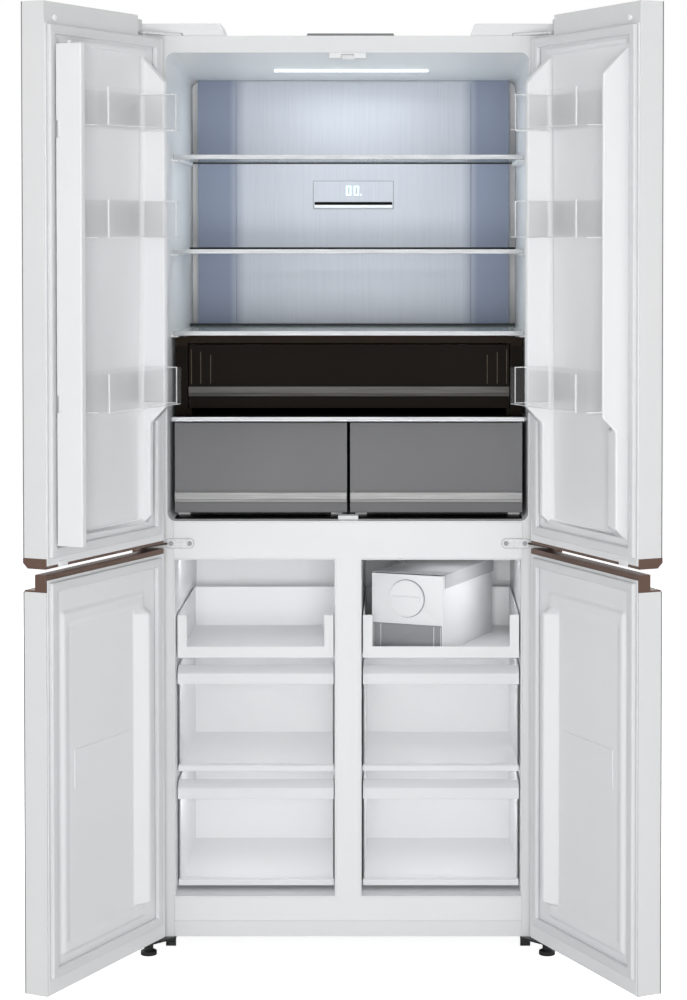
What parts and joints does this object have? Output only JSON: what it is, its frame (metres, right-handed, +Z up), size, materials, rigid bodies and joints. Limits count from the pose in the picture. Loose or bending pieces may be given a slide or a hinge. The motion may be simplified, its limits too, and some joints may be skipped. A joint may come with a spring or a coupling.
{
  "type": "four-door refrigerator",
  "caption": "Free-standing cross-door refrigerator with open doors, door bins, glass shelves, crispers, freezer drawers and a twist ice maker.",
  "frame": {"origin": "floor level, at the middle of the part's box as it stands with its doors open", "axes": "+Z up, -Y out of the front of the cabinet, +X to the right seen from the front"},
  "size_m": [1.1592, 1.0814, 1.84],
  "materials": {
    "case_white": "satin",
    "galvanised_steel": "satin",
    "insulation": "matte",
    "liner_white": "satin",
    "door_white": "gloss",
    "gasket_grey": "matte",
    "copper_trim": "satin",
    "clear_plastic": "gloss",
    "frosted_plastic": "satin",
    "tray_white": "satin",
    "shelf_glass": "gloss",
    "silver_trim": "satin",
    "duct_metal": "satin",
    "smoked_plastic": "gloss",
    "crisper_grey": "gloss",
    "light_lens": "gloss",
    "hinge_steel": "satin",
    "black_plastic": "matte",
    "black_steel": "satin",
    "coil_metal": "satin"
  },
  "bodies": {
    "cabinet": {"outer_cabinet": "case_white", "back_panel": "galvanised_steel", "insulation_foam": "insulation", "fridge_liner": "liner_white", "freezer_liners": "liner_white", "front_beams": "liner_white", "kick_plate": "case_white", "base_frame": "galvanised_steel", "fridge_duct_panel": "duct_metal", "control_panel": "duct_metal", "ceiling_light": "light_lens", "mullion_guides": "liner_white", "shelf_glass": "shelf_glass", "shelf_trims": "silver_trim", "fresh_zone_frame": "smoked_plastic", "door_hinges": "hinge_steel", "hinge_screws": "hinge_steel", "top_covers": "liner_white", "compressor": "black_steel", "condenser": "coil_metal", "evaporator": "coil_metal", "machine_cover": "galvanised_steel"},
    "upper_left_door": {"upper_left_door_panel": "door_white", "upper_left_door_liner": "liner_white", "upper_left_door_gasket": "gasket_grey", "upper_left_door_bottom_trim": "copper_trim", "upper_left_door_bins": "clear_plastic"},
    "upper_right_door": {"upper_right_door_panel": "door_white", "upper_right_door_liner": "liner_white", "upper_right_door_gasket": "gasket_grey", "upper_right_door_bottom_trim": "copper_trim", "upper_right_door_bins": "clear_plastic"},
    "lower_left_door": {"lower_left_door_panel": "door_white", "lower_left_door_liner": "liner_white", "lower_left_door_gasket": "gasket_grey", "lower_left_door_handle_trim": "copper_trim"},
    "lower_right_door": {"lower_right_door_panel": "door_white", "lower_right_door_liner": "liner_white", "lower_right_door_gasket": "gasket_grey", "lower_right_door_handle_trim": "copper_trim"},
    "flip_mullion": {"flip_mullion": "liner_white"},
    "fresh_drawer": {"fresh_drawer": "smoked_plastic", "fresh_drawer_handle": "silver_trim"},
    "left_crisper": {"left_crisper": "crisper_grey", "left_crisper_handle": "silver_trim"},
    "right_crisper": {"right_crisper": "crisper_grey", "right_crisper_handle": "silver_trim"},
    "left_top_tray": {"left_top_tray": "tray_white"},
    "right_top_tray": {"right_top_tray": "tray_white", "ice_maker_housing": "tray_white", "ice_box": "clear_plastic"},
    "left_middle_drawer": {"left_middle_drawer": "frosted_plastic"},
    "right_middle_drawer": {"right_middle_drawer": "frosted_plastic"},
    "left_bottom_drawer": {"left_bottom_drawer": "frosted_plastic"},
    "right_bottom_drawer": {"right_bottom_drawer": "frosted_plastic"},
    "ice_maker_knob": {"ice_maker_knob": "tray_white"},
    "condenser_fan": {"condenser_fan": "black_plastic"},
    "rear_rollers": {"rear_rollers": "black_plastic"},
    "left_foot": {"left_foot": "black_plastic"},
    "right_foot": {"right_foot": "black_plastic"}
  },
  "joints": [
    {"name": "upper_left_door_hinge", "type": "hinge", "parent": "cabinet", "child": "upper_left_door", "pos_m": [-0.3965, -0.15217, 1], "axis": [0, 0, -1], "range_deg": [-115, 0]},
    {"name": "upper_right_door_hinge", "type": "hinge", "parent": "cabinet", "child": "upper_right_door", "pos_m": [0.3965, -0.15217, 1], "axis": [0, 0, 1], "range_deg": [-115, 0]},
    {"name": "lower_left_door_hinge", "type": "hinge", "parent": "cabinet", "child": "lower_left_door", "pos_m": [-0.3965, -0.15217, 1], "axis": [0, 0, -1], "range_deg": [-115, 0]},
    {"name": "lower_right_door_hinge", "type": "hinge", "parent": "cabinet", "child": "lower_right_door", "pos_m": [0.3965, -0.15217, 1], "axis": [0, 0, 1], "range_deg": [-115, 0]},
    {"name": "flip_mullion_hinge", "type": "hinge", "parent": "upper_left_door", "child": "flip_mullion", "pos_m": [-0.50728, -0.51373, 1.3], "axis": [0, 0, -1], "range_deg": [0, 90]},
    {"name": "fresh_drawer_slide", "type": "slide", "parent": "cabinet", "child": "fresh_drawer", "axis": [0, -1, 0], "range_m": [0, 0.2]},
    {"name": "left_crisper_slide", "type": "slide", "parent": "cabinet", "child": "left_crisper", "axis": [0, -1, 0], "range_m": [0, 0.25]},
    {"name": "right_crisper_slide", "type": "slide", "parent": "cabinet", "child": "right_crisper", "axis": [0, -1, 0], "range_m": [0, 0.25]},
    {"name": "left_top_tray_slide", "type": "slide", "parent": "cabinet", "child": "left_top_tray", "axis": [0, -1, 0], "range_m": [0, 0.28]},
    {"name": "right_top_tray_slide", "type": "slide", "parent": "cabinet", "child": "right_top_tray", "axis": [0, -1, 0], "range_m": [0, 0.28]},
    {"name": "left_middle_drawer_slide", "type": "slide", "parent": "cabinet", "child": "left_middle_drawer", "axis": [0, -1, 0], "range_m": [0, 0.28]},
    {"name": "right_middle_drawer_slide", "type": "slide", "parent": "cabinet", "child": "right_middle_drawer", "axis": [0, -1, 0], "range_m": [0, 0.28]},
    {"name": "left_bottom_drawer_slide", "type": "slide", "parent": "cabinet", "child": "left_bottom_drawer", "axis": [0, -1, 0], "range_m": [0, 0.28]},
    {"name": "right_bottom_drawer_slide", "type": "slide", "parent": "cabinet", "child": "right_bottom_drawer", "axis": [0, -1, 0], "range_m": [0, 0.28]},
    {"name": "ice_maker_knob_twist", "type": "hinge", "parent": "right_top_tray", "child": "ice_maker_knob", "pos_m": [0.17125, 0.11723, 0.688], "axis": [-0.3746, -0.9272, 0], "range_deg": [0, 120], "stiffness_Nm_per_rad": 0.15},
    {"name": "condenser_fan_spin", "type": "hinge", "parent": "cabinet", "child": "condenser_fan", "pos_m": [-0.065, 0.45123, 0.102], "axis": [1, 0, 0], "continuous": true},
    {"name": "rear_roller_spin", "type": "hinge", "parent": "cabinet", "child": "rear_rollers", "pos_m": [0, 0.48123, 0.0135], "axis": [1, 0, 0], "continuous": true},
    {"name": "left_foot_screw", "type": "hinge", "parent": "cabinet", "child": "left_foot", "pos_m": [-0.393, -0.13077, 0], "axis": [0, 0, 1], "continuous": true},
    {"name": "right_foot_screw", "type": "hinge", "parent": "cabinet", "child": "right_foot", "pos_m": [0.393, -0.13077, 0], "axis": [0, 0, 1], "continuous": true}
  ],
  "couplings": [
    {"joint": "flip_mullion_hinge", "follows": "upper_left_door_hinge", "ratio": -0.78261}
  ]
}
